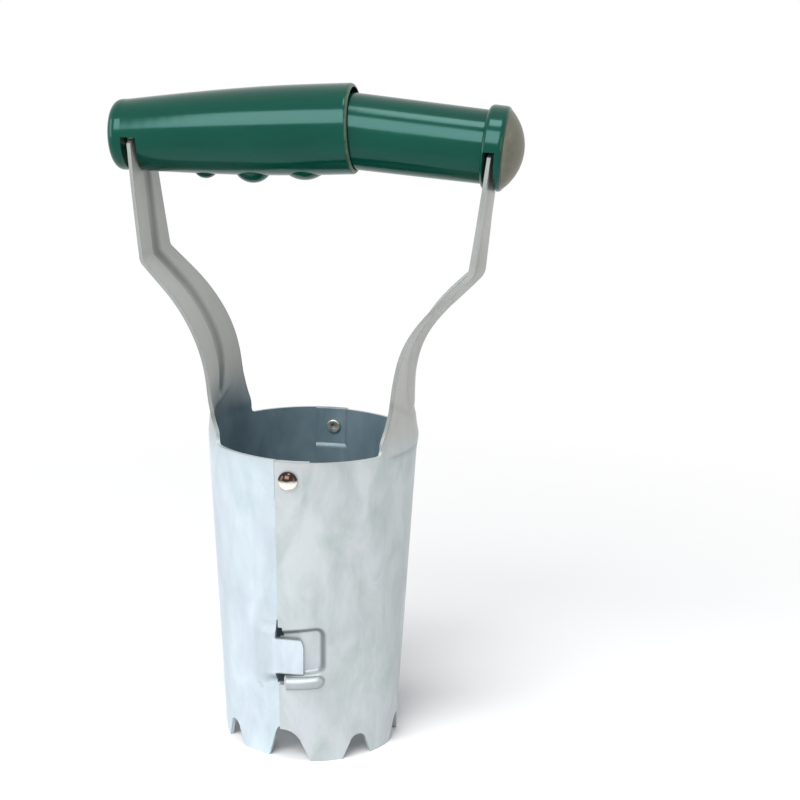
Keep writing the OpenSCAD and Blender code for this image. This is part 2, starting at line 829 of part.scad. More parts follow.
// The return spring: one unbroken wire, wound about the outer grip's axis
coil_z0 = spring_floor + coil_gap + wire_d / 2;
coil_z1 = outer_len - inner_overlap - 3.6;
coil_mean_r = coil_r - wire_d / 2;
coil_steps = 14;
wire_sides = 6;
coil_pitch = (coil_z1 - coil_z0) / coil_turns;
echo(least_gap_between_turns = coil_pitch - wire_d);
function coil_point(i) = let (a = 360 * i / coil_steps)
    [coil_mean_r * cos(a), coil_mean_r * sin(a), coil_z0 + coil_pitch * i / coil_steps];
module return_spring() {
    count = coil_turns * coil_steps;
    color(bright)
        rotate([0, 0, 180])
            at_grip(outer_tilt)
                polyhedron(
                    points = [for (i = [0:count], k = [0:wire_sides - 1])
                        let (a = 360 * i / coil_steps, b = 360 * k / wire_sides, c = coil_point(i))
                        [c[0] + wire_d / 2 * cos(b) * cos(a), c[1] + wire_d / 2 * cos(b) * sin(a),
                            c[2] + wire_d / 2 * sin(b)]],
                    faces = concat(
                        [[for (k = [0:wire_sides - 1]) k]],
                        [[for (k = [wire_sides - 1:-1:0]) count * wire_sides + k]],
                        [for (i = [0:count - 1], k = [0:wire_sides - 1])
                            let (m = (k + 1) % wire_sides)
                            [i * wire_sides + m, i * wire_sides + k,
                                (i + 1) * wire_sides + k, (i + 1) * wire_sides + m]]));
}

left_half();
right_half();
front_rivet();
back_rivet();
outer_grip();
inner_grip();
left_end_cap();
right_end_cap();
left_grip_screw();
right_grip_screw();
return_spring();
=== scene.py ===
import math

import bmesh
import bpy
from mathutils import Matrix, Vector


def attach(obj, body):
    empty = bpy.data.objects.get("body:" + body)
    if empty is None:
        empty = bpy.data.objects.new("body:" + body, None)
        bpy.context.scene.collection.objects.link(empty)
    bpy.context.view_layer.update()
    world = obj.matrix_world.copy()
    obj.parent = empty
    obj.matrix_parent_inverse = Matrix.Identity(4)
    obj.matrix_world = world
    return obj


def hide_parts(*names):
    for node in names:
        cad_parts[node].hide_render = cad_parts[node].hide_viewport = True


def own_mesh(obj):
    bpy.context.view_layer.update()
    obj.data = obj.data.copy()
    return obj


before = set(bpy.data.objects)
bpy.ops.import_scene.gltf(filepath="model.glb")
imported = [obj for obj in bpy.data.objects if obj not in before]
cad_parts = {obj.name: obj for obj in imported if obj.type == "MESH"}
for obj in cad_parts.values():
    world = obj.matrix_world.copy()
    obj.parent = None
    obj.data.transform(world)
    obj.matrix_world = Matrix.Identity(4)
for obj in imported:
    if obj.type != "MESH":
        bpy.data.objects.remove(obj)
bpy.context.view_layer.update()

# Lengths are in millimetres and angles in degrees. This factor turns a length into metres
mm = 0.001


def sin(angle):
    return math.sin(math.radians(angle))


def cos(angle):
    return math.cos(math.radians(angle))


# Sizes that several pieces or materials share
sheet = 1.2
# each half's own axis stands this far off the cup's, so that the laps nest
shift = 1.1
tooth_r = 29.5
rim_r = 35.15
rim_z = 105.0
pad_z = 91.2
# the outer grip's line, from the eye of the left strap
eye_x = -58.89
eye_z = 203.15
grip_tilt = 3.55
eye = Vector((eye_x, 0, eye_z))
along = Vector((cos(grip_tilt), 0, sin(grip_tilt)))

# Camera: its place, heading, downward tilt and roll as fitted to the photograph
photo_px = 800.0
focal_px = 2054.1
sensor = 36.0
camera_place = Vector((146.998, -647.332, 290.098)) * mm
heading = 10.2933
downward = 14.6214
roll = 0.8794
camera_data = bpy.data.cameras.new("camera")
camera_data.sensor_fit = "HORIZONTAL"
camera_data.sensor_width = sensor
camera_data.lens = sensor * focal_px / photo_px
camera_data.clip_start = 10 * mm
camera_data.clip_end = 60000 * mm
camera = bpy.data.objects.new("camera", camera_data)
camera.matrix_world = (
    Matrix.Translation(camera_place)
    @ Matrix.Rotation(math.radians(heading), 4, "Z")
    @ Matrix.Rotation(math.radians(90 - downward), 4, "X")
    @ Matrix.Rotation(math.radians(roll), 4, "Z"))
bpy.context.scene.collection.objects.link(camera)
bpy.context.scene.camera = camera


# Node helpers
class Nodes:
    """Adds nodes to one tree. A value is a number, a vector, a colour or another node's output."""

    def __init__(self, tree):
        self.tree = tree

    def put(self, socket, value):
        if isinstance(value, bpy.types.NodeSocket):
            self.tree.links.new(value, socket)
        elif socket.type == "RGBA":
            socket.default_value = (*value, 1)
        else:
            socket.default_value = value

    def new(self, kind):
        return self.tree.nodes.new(kind)

    def fill(self, node, inputs):
        """Give a node its inputs by name or number, and return its outputs."""
        for name, value in inputs.items():
            self.put(node.inputs[name], value)
        return node.outputs

    def math(self, operation, *values, clamp=False):
        node = self.new("ShaderNodeMath")
        node.operation = operation
        node.use_clamp = clamp
        return self.fill(node, dict(enumerate(values)))[0]

    def plus(self, a, b):
        return self.math("ADD", a, b)

    def minus(self, a, b):
        return self.math("SUBTRACT", a, b)

    def times(self, a, b):
        return self.math("MULTIPLY", a, b)

    def vector_math(self, operation, *values):
        node = self.new("ShaderNodeVectorMath")
        node.operation = operation
        return self.fill(node, dict(enumerate(values)))["Value"]

    def coordinates(self):
        return self.new("ShaderNodeTexCoord").outputs

    def split(self, vector):
        return self.fill(self.new("ShaderNodeSeparateXYZ"), {0: vector})

    def stretch(self, vector, scale):
        return self.fill(self.new("ShaderNodeMapping"), {"Vector": vector, "Scale": scale})["Vector"]

    def noise(self, vector, scale, detail, rough, distortion=0.0):
        inputs = {"Vector": vector, "Scale": scale, "Detail": detail, "Roughness": rough,
                  "Distortion": distortion}
        return self.fill(self.new("ShaderNodeTexNoise"), inputs)["Fac"]

    def ramp(self, value, *stops):
        node = self.new("ShaderNodeValToRGB")
        elements = node.color_ramp.elements
        while len(elements) < len(stops):
            elements.new(0.5)
        for element, (position, colour) in zip(elements, stops):
            element.position = position
            element.color = (*colour, 1)
        return self.fill(node, {"Fac": value})["Color"]

    def smooth(self, value, start, end, low=0.0, high=1.0):
        node = self.new("ShaderNodeMapRange")
        node.interpolation_type = "SMOOTHSTEP"
        inputs = {"Value": value, "From Min": start, "From Max": end, "To Min": low, "To Max": high}
        return self.fill(node, inputs)["Result"]

    def mix(self, share, a, b, blend="MIX"):
        node = self.new("ShaderNodeMix")
        node.data_type = "RGBA"
        node.blend_type = blend
        # this node's colours are its inputs 6 and 7 and its output 2
        return self.fill(node, {0: share, 6: a, 7: b})[2]

    def bump(self, height, strength, distance, before=None):
        inputs = {"Height": height, "Strength": strength, "Distance": distance}
        if before is not None:
            inputs["Normal"] = before
        return self.fill(self.new("ShaderNodeBump"), inputs)["Normal"]

    def seen(self):
        """1 for what the camera, a mirror or a glass sees, and 0 for what only lights the object."""
        ray = self.new("ShaderNodeLightPath").outputs
        direct = self.math("ADD", ray["Is Camera Ray"], ray["Is Glossy Ray"], clamp=True)
        return self.math("ADD", direct, ray["Is Transmission Ray"], clamp=True)

    def finish(self, output, share, first, second):
        """Mix two shaders, and make them what the tree shows."""
        mixed = self.fill(self.new("ShaderNodeMixShader"), {0: share, 1: first, 2: second})[0]
        self.put(self.tree.nodes[output].inputs["Surface"], mixed)


def material(name):
    """A new material, the helper for its nodes and its main shader's inputs."""
    m = bpy.data.materials.new(name)
    m.use_nodes = True
    return m, Nodes(m.node_tree), m.node_tree.nodes["Principled BSDF"].inputs


# Galvanised pressed sheet: pale and blotched outside, dark with painted shade inside the cup, grey on the
# strap
def outside_colour(nodes, place, z, blotch, streak, tint, blotch_tint, scuffed):
    colour = nodes.ramp(blotch, (0.30, blotch_tint), (0.62, tint))
    colour = nodes.mix(nodes.times(streak, 0.16), colour, blotch_tint)
    hues = nodes.ramp(nodes.noise(place, 46, 3, 0.6, 0.4),
                      (0.30, (0.965, 1.0, 0.975)), (0.50, (1.0, 1.0, 1.0)), (0.70, (1.0, 0.975, 1.0)))
    colour = nodes.mix(1.0, colour, hues, "MULTIPLY")
    # the soil has scuffed the lower cup
    scuff = nodes.noise(nodes.stretch(place, (1.6, 1.6, 0.5)), 260, 6, 0.72, 1.2)
    scuff = nodes.ramp(scuff, (0.56, (0, 0, 0)), (0.72, (1, 1, 1)))
    low = nodes.smooth(z, 70 * mm, 15 * mm)
    colour = nodes.mix(nodes.times(scuff, nodes.times(low, scuffed)), colour, (0.36, 0.42, 0.38))
    # the strap is greyer than the cup, from a ragged border on
    strap = nodes.ramp(blotch, (0.30, (0.37, 0.375, 0.36)), (0.70, (0.47, 0.475, 0.46)))
    ragged = nodes.plus(z, nodes.times(blotch, 14 * mm))
    return nodes.mix(nodes.smooth(ragged, 107 * mm, 121 * mm), colour, strap)


# painted shade: the inside of the cup is much darker than its outside, and the inside of the strap a little
# darker
def shaded_inside_colour(nodes, blotch, on_strap):
    cup = nodes.ramp(blotch, (0.30, (0.108, 0.168, 0.200)), (0.70, (0.172, 0.245, 0.285)))
    strap = nodes.ramp(blotch, (0.30, (0.315, 0.325, 0.305)), (0.70, (0.41, 0.415, 0.39)))
    return nodes.mix(on_strap, cup, strap)


def sheet_material(name, tint, blotch_tint, scuffed):
    m, nodes, surface = material(name)
    place = nodes.coordinates()["Object"]
    facing = nodes.split(nodes.coordinates()["Normal"])
    x, y, z = nodes.split(place)
    # how much the surface faces the cup's axis
    outward = nodes.plus(nodes.times(x, facing[0]), nodes.times(y, facing[1]))
    inward = nodes.smooth(outward, -12 * mm, -24 * mm)
    on_strap = nodes.smooth(z, rim_z * mm, 128 * mm)
    blotch = nodes.noise(nodes.stretch(place, (1, 1, 0.45)), 95, 5, 0.6, 0.6)
    # fine grain and press lines fade out on the strap
    on_cup = nodes.minus(1.0, on_strap)
    grain = nodes.times(nodes.noise(place, 900, 3, 0.6), on_cup)
    streak = nodes.times(nodes.noise(nodes.stretch(place, (1, 1, 0.04)), 700, 3, 0.6), on_cup)

    outside = outside_colour(nodes, place, z, blotch, streak, tint, blotch_tint, scuffed)
    # painted shade on the surfaces that face the cup's axis
    colour = nodes.mix(inward, outside, shaded_inside_colour(nodes, blotch, on_strap))
    # painted shade from the mesh's attribute: darker in creases, pressed slopes, grooves and on the bead
    attribute = nodes.new("ShaderNodeAttribute")
    attribute.attribute_name = "painted_shade"
    painted_shade = attribute.outputs["Fac"]
    nodes.put(surface["Base Color"], nodes.mix(nodes.times(painted_shade, 0.72), colour, (0.11, 0.13, 0.13)))
    nodes.put(surface["Metallic"], nodes.smooth(inward, 0.0, 1.0, 0.62, 0.20))

    # the slope of the riveting pad is burnished inside
    slope = nodes.times(nodes.smooth(z, (pad_z - 1.2) * mm, (pad_z - 0.2) * mm),
                        nodes.smooth(z, (pad_z + 2.8) * mm, (pad_z + 1.8) * mm))
    burnished = nodes.times(slope, nodes.times(inward, painted_shade))
    rough = nodes.smooth(blotch, 0.3, 0.7, 0.40, 0.52)
    nodes.put(surface["Roughness"], nodes.minus(rough, nodes.times(burnished, 0.16)))
    bumps = nodes.bump(nodes.noise(place, 62, 2, 0.5), 0.16, 1.0 * mm)
    bumps = nodes.bump(streak, 0.02, 0.2 * mm, bumps)
    nodes.put(surface["Normal"], nodes.bump(grain, 0.012, 0.06 * mm, bumps))
    return m


# Glossy moulded plastic with a faint flow pattern
def plastic_material(name, tint, dull, lip=False):
    m, nodes, surface = material(name)
    place = nodes.coordinates()["Object"]
    flow = nodes.noise(nodes.stretch(place, (0.25, 1, 1)), 55, 4, 0.6, 0.8)
    colour = nodes.ramp(flow, (0.25, dull), (0.75, tint))
    rough = nodes.smooth(flow, 0.25, 0.75, 0.12, 0.19)
    if lip:
        # the sleeve's lip is paler and rougher. These distances run along the grip's direction, from the
        # frame's origin
        lip_from = 25.88
        lip_to = 26.68
        reached = nodes.vector_math("DOT_PRODUCT", place, tuple(along))
        ragged = nodes.plus(reached, nodes.times(nodes.noise(place, 480, 4, 0.7), 1.0 * mm))
        pale_lip = nodes.smooth(ragged, lip_from * mm, lip_to * mm, 0.0, 0.62)
        colour = nodes.mix(pale_lip, colour, (0.125, 0.150, 0.100))
        rough = nodes.plus(rough, nodes.times(pale_lip, 0.35))
    nodes.put(surface["Base Color"], colour)
    nodes.put(surface["Roughness"], rough)
    nodes.put(surface["Specular IOR Level"], 0.40)
    nodes.put(surface["Specular Tint"], (0.42, 0.79, 0.77))
    bumps = nodes.bump(flow, 0.06, 0.8 * mm)
    nodes.put(surface["Normal"], nodes.bump(nodes.noise(place, 1500, 2, 0.5), 0.03, 0.05 * mm, bumps))
    return m


# Plain metal with a cloudy surface
def metal_material(name, tint, cloud_tint, smoothest, roughest, metallic=1.0):
    m, nodes, surface = material(name)
    place = nodes.coordinates()["Object"]
    cloud = nodes.noise(place, 260, 4, 0.6, 0.3)
    nodes.put(surface["Base Color"], nodes.ramp(cloud, (0.3, cloud_tint), (0.7, tint)))
    nodes.put(surface["Metallic"], metallic)
    nodes.put(surface["Roughness"], nodes.smooth(cloud, 0.3, 0.7, smoothest, roughest))
    nodes.put(surface["Normal"], nodes.bump(nodes.noise(place, 1560, 2, 0.5), 0.15, 0.06 * mm))
    return m


# Plated rivets, with a painted dark reflection above their middle. The tail inside the cup is duller and has
# less of it
def rivet_material(name):
    m, nodes, surface = material(name)
    place = nodes.coordinates()["Object"]
    x, y, z = nodes.split(place)
    cloud = nodes.noise(place, 420, 4, 0.6, 0.5)
    tail_to = 33.8
    head_from = 35.2
    head = nodes.smooth(nodes.math("ABSOLUTE", y), tail_to * mm, head_from * mm)
    # painted reflection: dark brown over the upper half of each head, fainter on the tail
    ragged = nodes.plus(z, nodes.times(cloud, 1.2 * mm))
    painted_reflection = nodes.smooth(ragged, 99.4 * mm, 100.4 * mm)
    painted_reflection = nodes.times(painted_reflection, nodes.smooth(head, 0.0, 1.0, 0.35, 1.0))
    clean = nodes.ramp(cloud, (0.3, (0.78, 0.74, 0.64)), (0.7, (0.88, 0.85, 0.76)))
    nodes.put(surface["Base Color"], nodes.mix(painted_reflection, clean, (0.055, 0.036, 0.030)))
    nodes.put(surface["Metallic"], 1.0)
    rough = nodes.smooth(cloud, 0.3, 0.7, 0.08, 0.16)
    nodes.put(surface["Roughness"], nodes.plus(rough, nodes.smooth(head, 0.0, 1.0, 0.26, 0.0)))
    nodes.put(surface["Normal"], nodes.bump(cloud, 0.12, 0.1 * mm))
    return m


green_tints = ((0.0008, 0.047, 0.030), (0.0006, 0.036, 0.023))
rivet_metal = rivet_material("rivet_nickel")
left_steel = sheet_material("steel_left", (0.57, 0.645, 0.70), (0.46, 0.53, 0.58), 0.25)
right_steel = sheet_material("steel_right", (0.52, 0.555, 0.575), (0.37, 0.415, 0.415), 0.5)
green = plastic_material("green_plastic", *green_tints)
green_lip = plastic_material("green_plastic_lip", *green_tints, lip=True)
nickel = metal_material("nickel", (0.86, 0.84, 0.78), (0.74, 0.72, 0.66), 0.10, 0.18)
cap_metal = metal_material("cap_metal", (0.155, 0.150, 0.110), (0.105, 0.105, 0.078), 0.34, 0.46, 0.45)
wire_metal = metal_material("wire_metal", (0.55, 0.57, 0.59), (0.42, 0.44, 0.46), 0.22, 0.34)

surfaces = {
    "left_half": left_steel,
    "right_half": right_steel,
    "front_rivet": rivet_metal,
    "back_rivet": rivet_metal,
    "outer_grip": green_lip,
    "inner_grip": green,
    "left_end_cap": green,
    "right_end_cap": cap_metal,
    "left_grip_screw": nickel,
    "right_grip_screw": nickel,
    "return_spring": wire_metal}
for name, surface in surfaces.items():
    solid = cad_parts[name]
    if not solid.material_slots:
        solid.data.materials.append(surface)
    for material_slot in solid.material_slots:
        material_slot.material = surface


# Object helpers
def link(thing):
    bpy.context.scene.collection.objects.link(thing)
    return thing


def face_outwards(bm):
    bmesh.ops.recalc_face_normals(bm, faces=bm.faces)


def drop_loose(bm):
    """Drop the points that no face uses, as where the sheet is cut out."""
    bmesh.ops.delete(bm, geom=[vert for vert in bm.verts if not vert.link_faces], context="VERTS")


def new_object(name, points, faces, surface, clean_up, painted_shades=None):
    """A smooth object from points in millimetres, each with its painted shade if that is given."""
    mesh = bpy.data.meshes.new(name)
    mesh.from_pydata([tuple(c * mm for c in point) for point in points], [], faces)
    if painted_shades:
        mesh.attributes.new("painted_shade", "FLOAT", "POINT").data.foreach_set("value", painted_shades)
    bm = bmesh.new()
    bm.from_mesh(mesh)
    clean_up(bm)
    bm.to_mesh(mesh)
    bm.free()
    for face in mesh.polygons:
        face.use_smooth = True
    mesh.materials.append(surface)
    return link(bpy.data.objects.new(name, mesh))


def thicken(thing, thickness, even):
    """Make the mesh the outside of a sheet."""
    thick = thing.modifiers.new("sheet", "SOLIDIFY")
    thick.thickness = thickness * mm
    thick.offset = -1
    thick.use_even_offset = even


# The return spring: a smooth wire on the outer grip's axis
wire_r = 0.7
coil_r = 7.9
coil_turns = 9
turn_steps = 36
wire_sides = 10
# places along the grip, from the eye: the bore's floor with its clearance, and the last turn
spring_floor = 10.7
last_turn = 58.9


def tube(centres, directions, radius, sides):
    """Points and faces of a closed tube. Each centre has a pair of directions across the wire."""
    points = []
    faces = []
    for centre, (a, b) in zip(centres, directions):
        for k in range(sides):
            angle = 360 * k / sides
            points.append(centre + a * (radius * cos(angle)) + b * (radius * sin(angle)))
    last = (len(centres) - 1) * sides
    for i in range(0, last, sides):
        for k in range(sides):
            j = (k + 1) % sides
            faces.append((i + k, i + j, i + sides + j, i + sides + k))
    faces.append(tuple(range(sides)))
    faces.append(tuple(last + k for k in reversed(range(sides))))
    return points, faces


def spring_coil(name):
    across = Vector((0, 1, 0))
    above = across.cross(along)
    first_turn = spring_floor + wire_r
    steps = coil_turns * turn_steps
    centres = []
    directions = []
    for i in range(steps + 1):
        angle = 360 * i / turn_steps
        outwards = across * cos(angle) + above * sin(angle)
        reach = first_turn + (last_turn - first_turn) * i / steps
        centres.append(eye + along * reach + outwards * coil_r)
        directions.append((outwards, along))
    points, faces = tube(centres, directions, wire_r, wire_sides)
    return new_object(name, points, faces, wire_metal, face_outwards)


spring = spring_coil("return_spring_wire")
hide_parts("return_spring")
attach(spring, "left_side")
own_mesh(spring)


# Curves for the pressed halves
def spread(start, end, count):
    """Evenly spread values, without the end."""
    return [start + (end - start) * i / count for i in range(count)]


def stretches(end, *starts):
    """Values from stretch to stretch, up to the end. Each start comes with its number of steps."""
    values = []
    ends = [start for start, count in starts[1:]] + [end]
    for (start, count), stop in zip(starts, ends):
        values += spread(start, stop, count)
    return values + [end]


def ease(t):
    """0 up to 0, 1 from 1 on, and a smooth rise between."""
    t = min(1.0, max(0.0, t))
    return t * t * (3 - 2 * t)


def swell(distance, width):
    """1 in the middle of a soft swell, and near 0 at twice its width."""
    return math.exp(-(distance / width)**2)


def curve(points, z):
    """The value at a height, on a smooth line through points of height and value."""
    if z <= points[0][0]:
        return points[0][1]
    if z >= points[-1][0]:
        return points[-1][1]
    i = max(k for k in range(len(points) - 1) if points[k][0] <= z)
    (z0, value0), (z1, value1) = points[i], points[i + 1]

    def slope(k):
        before = points[max(0, k - 1)]
        after = points[min(len(points) - 1, k + 1)]
        return (after[1] - before[1]) / (after[0] - before[0])
    h = z1 - z0
    t = (z - z0) / h
    return ((2 * t**3 - 3 * t**2 + 1) * value0 + (t**3 - 2 * t**2 + t) * h * slope(i)
            + (3 * t**2 - 2 * t**3) * value1 + (t**3 - t**2) * h * slope(i + 1))


# The pressed halves' cup. An angle runs from the front seam at 0 over the strap at 90 to the back seam at
# 180. That is the right half (side 1), and the left half (side -1) is the same, turned by 180 degrees
root_half = 21.5
root_angle = math.degrees(math.asin(root_half / rim_r))
arm_from = 90 - root_angle
arm_to = 90 + root_angle
rim_fillet = 1.6
strap_z = rim_z + rim_fillet
lap_from = -7.3
lap_to = 190.6
# the lower edge: notches between teeth, a wider one at each seam, and the back lap's flank and slant
edge_r = 29.7
tooth_notch = {"half": 5.73, "shoulder": 3.104, "shoulder_z": 5.64, "arch_r": 3.2, "arch_z": 5}
seam_notch = {"half": 9.14, "shoulder": 6.045, "shoulder_z": 7.1, "arch_r": 6.5, "arch_z": 4.7}
notch_angles = (44.75, 88.25, 131.75)
front_notch_angle = -5.4
back_notch_angle = 174.6
flank_from = -5.5
flank_to = -2.58
flank_z = 10.2
slant_run = 1.1
slant_rise = 1.3
# the tab and the window that it stands in
window_from = 171.2
window_low = 27.35
window_high = 49.8
tab_to = 187.4
tab_low = 31.3
tab_high = 43.8
tab_r = 31
tab_corner = 3.5
tab_step = 1.85
# the tab's root rises from the wall, and its slopes below and above get steeper towards the tab
root_from = 148
root_run = 23.5
steeper_from = 158
steeper_run = 13
soft_slope = 6.5
steep_below = 3.6
steep_above = 5.6
# the slots in the front lap, below and above the other half's tab
slot_low_to = -3.9
slot_low_high = 30.95
slot_high_to = -4.7
slot_high_high = 47.8
# the riveting pad, with its slope below and the one beside it
pad_from = 171.6
pad_step = 0.6
pad_slope = 1.2
pad_side_slope = 1.1
# the strip beside the back seam, which is pressed a little flatter than the cup
strip_from = 156
strip_to = 171.5
strip_step = 0.4
# the swell below the right strap
swell_angle = 97
swell_z = 106
swell_step = 0.4
# the pocket that takes the other half's tab, with its places along the wall
pocket_r = 3.4
pocket_end = 11.8
pocket_half = 8.5
pocket_z = 39.4
pocket_lean = 0.13
pocket_depth = 1.95
pocket_slope = 2.2
# creases that get a line of painted shade: the fold line under the tab's root, and the one at the right
# strap's root
fold_z = 24.4
crease_z = 103.7


def wall_r(z):
    return tooth_r + (rim_r - tooth_r) / rim_z * min(z, rim_z)


def notch(p, half, shoulder, shoulder_z, arch_r, arch_z):
    """Height of a notch's edge at p from its middle: straight flanks up to a shoulder, and an arch."""
    if p < shoulder:
        return arch_z + math.sqrt(arch_r**2 - p**2)
    return shoulder_z * (half - p) / (half - shoulder)


def bottom(a):
    """Height of the cup's lower edge."""
    for middle in notch_angles:
        p = abs(edge_r * sin(a - middle))
        if abs(a - middle) < 30 and p < tooth_notch["half"]:
            return notch(p, **tooth_notch)
    p = edge_r * sin(a - front_notch_angle)
    if a < 60 and p < seam_notch["half"]:
        return notch(p, **seam_notch)
    p = edge_r * sin(a - back_notch_angle)
    if a > 120 and p > flank_from:
        if p < flank_to:
            return flank_z * (p - flank_from) / (flank_to - flank_from)
        return flank_z + min(slant_rise, slant_rise * (p - flank_to) / slant_run)
    return 0.0


def top(a):
    """Height of the rim, which curves up into the strap's edges."""
    beside_strap = arm_from - a if a < 90 else a - arm_to
    d = math.radians(beside_strap) * rim_r
    if d <= 0:
        return strap_z
    if d >= rim_fillet:
        return rim_z
    return strap_z - math.sqrt(rim_fillet**2 - (rim_fillet - d)**2)


def pocket(a, z):
    """Depth of the pocket: a rounded oblong that leans up a little and is open at the lap's edge."""
    px = wall_r(z) * math.radians(a)
    qx = px - (pocket_end - pocket_r)
    qz = abs(z - pocket_z - pocket_lean * (px - 6)) - (pocket_half - pocket_r)
    outside = math.hypot(max(qx, 0), max(qz, 0)) + min(max(qx, qz), 0) - pocket_r
    return pocket_depth * ease((0.35 - outside) / pocket_slope)


def beside_tab(z):
    """Whether a height is one of the tab's rows, with a little to spare."""
    return tab_low - 0.1 < z < tab_high + 0.1


def tab_lift(a, z):
    """How far the tab and its embossed root stand out, to pass over the other half."""
    if a > window_from + 0.01:
        return tab_step if beside_tab(z) else 0
    steeper = ease((a - steeper_from) / steeper_run)
    below = soft_slope + (steep_below - soft_slope) * steeper
    above = soft_slope + (steep_above - soft_slope) * steeper
    keep = ease((z - tab_low + below) / below) * ease((tab_high + above - z) / above)
    return tab_step * ease((a - root_from) / root_run) * keep


def strip_lift(a):
    """How far the strip beside the back seam stands out."""
    rise = min(1.0, max(0.0, (a - strip_from) / (strip_to - strip_from)))
    return strip_step * rise * ease((a - strip_from + 1) / 3) * (1 - ease((a - strip_to) / 4))


def pressed(a, z):
    """How far the wall is pressed outwards at an angle and height."""
    d = pad_step * ease((z - pad_z) / pad_slope) * ease((a - pad_from) / pad_side_slope)
    if a < 60:
        d -= pocket(a, z)
    if a > 140:
        d += strip_lift(a) + tab_lift(a, z)
    return d


def root_swell(side, a, z):
    """The right half was pressed a little full below its strap."""
    return swell_step * swell(z - swell_z, 3.2) * swell(a - swell_angle, 26) if side > 0 else 0.0


def cup_painted_shade(side, a, z):
    """Painted shade, darkest where the press bent the sheet most, with lines along two creases. A step at
    the window's edge is no bend.
    """
    around = 0.0
    upwards = 0.0
    if a < 60 or z > 88 or 147 < a < 170:
        around = (pressed(a + 0.5, z) - pressed(a - 0.5, z)) / 0.54
    if 22 < z < 53 or z > 88:
        upwards = (pressed(a, z + 0.3) - pressed(a, z - 0.3)) / 0.6
    painted_shade = min(1.0, math.hypot(around, upwards) / 1.1)
    if 150 < a < 173:
        painted_shade += 0.38 * swell(z - fold_z - 1.6 * ease((162 - a) / 5), 0.4) * ease((a - 156) / 3)
    if side > 0 and z > 100:
        painted_shade += 0.5 * swell(z - crease_z, 0.75) * (1 - ease((abs(a - 88) - 24) / 10))
    return painted_shade


def cut_out(a, z):
    """Whether the sheet is cut away: in the front lap's slots, and in the window round the tab."""
    if a < slot_low_to and window_low < z < slot_low_high:
        return True
    if a < slot_high_to and tab_high < z < slot_high_high:
        return True
    if a > window_from and window_low < z < window_high:
        return not (a < tab_to and tab_low < z < tab_high)
    return False


def drawn_in(a, z):
    """The angle of a column, drawn in where the tab's upper corner is rounded off."""
    if not (window_from < a <= tab_to + 0.01 and beside_tab(z)):
        return a
    up = max(0.0, z - (tab_high - tab_corner))
    inset = tab_corner - math.sqrt(max(0.0, tab_corner**2 - up * up))
    end = tab_to - math.degrees(0.55 * inset / tab_r)
    return window_from + (a - window_from) * (end - window_from) / (tab_to - window_from)


# The mesh's columns and rows, which are closer together where the press bent the sheet
angles = stretches(
    lap_to, (lap_from, 4), (slot_high_to, 1), (slot_low_to, 38), (26, 4), (33.6, 16), (49, 6),
    (arm_from, 4), (56, 8), (77, 34), (103, 7), (120.5, 7), (arm_to, 6), (131, 12), (143, 26),
    (window_from, 16), (tab_to, 4))
notch_rows = 14
rim_rows = 4
level_from = 14
level_to = 103
levels = stretches(
    level_to, (level_from, 7), (25, 5), (window_low, 4), (29.15, 4), (slot_low_high, 1), (tab_low, 26),
    (tab_high, 9), (slot_high_high, 5), (window_high, 4), (52, 19), (90, 9), (93.6, 6))
cup_rows = notch_rows + len(levels) + rim_rows
arm_columns = [j for j, a in enumerate(angles) if arm_from - 0.01 <= a <= arm_to + 0.01]


def row_heights(a):
    """Heights of a column's points, from the lower edge over the even levels up to the rim."""
    low = bottom(a)
    high = top(a)
    heights = [low + (level_from - low) * k / notch_rows for k in range(notch_rows)] + levels
    return heights + [level_to + (high - level_to) * k / rim_rows for k in range(1, rim_rows + 1)]


def cup_point(side, a, z):
    """Point and painted shade of the cup's wall."""
    a = drawn_in(a, z)
    r = wall_r(z) + pressed(a, z) + root_swell(side, a, z)
    return (r * sin(a), -r * cos(a) - shift, z), cup_painted_shade(side, a, z)


# The strap's middle line above the cup, as x, z and lean of the sheet: upright, an arc outwards, a short
# straight piece, a tight bend and the leg up into the grip
upright_x = 34.55
arc_z = 124
arc_r = 48
arc_lean = 44
arc_end = (upright_x + arc_r * (1 - cos(arc_lean)), arc_z + arc_r * sin(arc_lean))
bend = (54.27, 163.8)
bend_r = 3.4
leg_lean = 6.7
# the straight piece's length up to the bend's corner, and how far the leg goes on above the eye
straight_to_corner = 9
above_eye = 8
# what the bend's arc takes off the straight pieces at its corner
bend_cut = bend_r * math.tan(math.radians((arc_lean - leg_lean) / 2))
bend_middle = (bend[0] - bend_cut * sin(arc_lean) - bend_r * cos(arc_lean),
               bend[1] - bend_cut * cos(arc_lean) + bend_r * sin(arc_lean))
leg_length = (eye_z - bend[1]) / cos(leg_lean) + above_eye
line = [(upright_x, z, 0.0) for z in spread(strap_z, arc_z, 16)][1:]
line += [(upright_x + arc_r * (1 - cos(lean)), arc_z + arc_r * sin(lean), lean)
         for lean in spread(0, arc_lean, 40)]
line += [(arc_end[0] + sin(arc_lean) * k, arc_end[1] + cos(arc_lean) * k, arc_lean)
         for k in spread(0, straight_to_corner - bend_cut, 8)]
line += [(bend_middle[0] + bend_r * cos(lean), bend_middle[1] - bend_r * sin(lean), lean)
         for lean in spread(arc_lean, leg_lean, 8)]
line += [(bend[0] + sin(leg_lean) * k, bend[1] + cos(leg_lean) * k, leg_lean)
         for k in spread(bend_cut, leg_length, 44)]

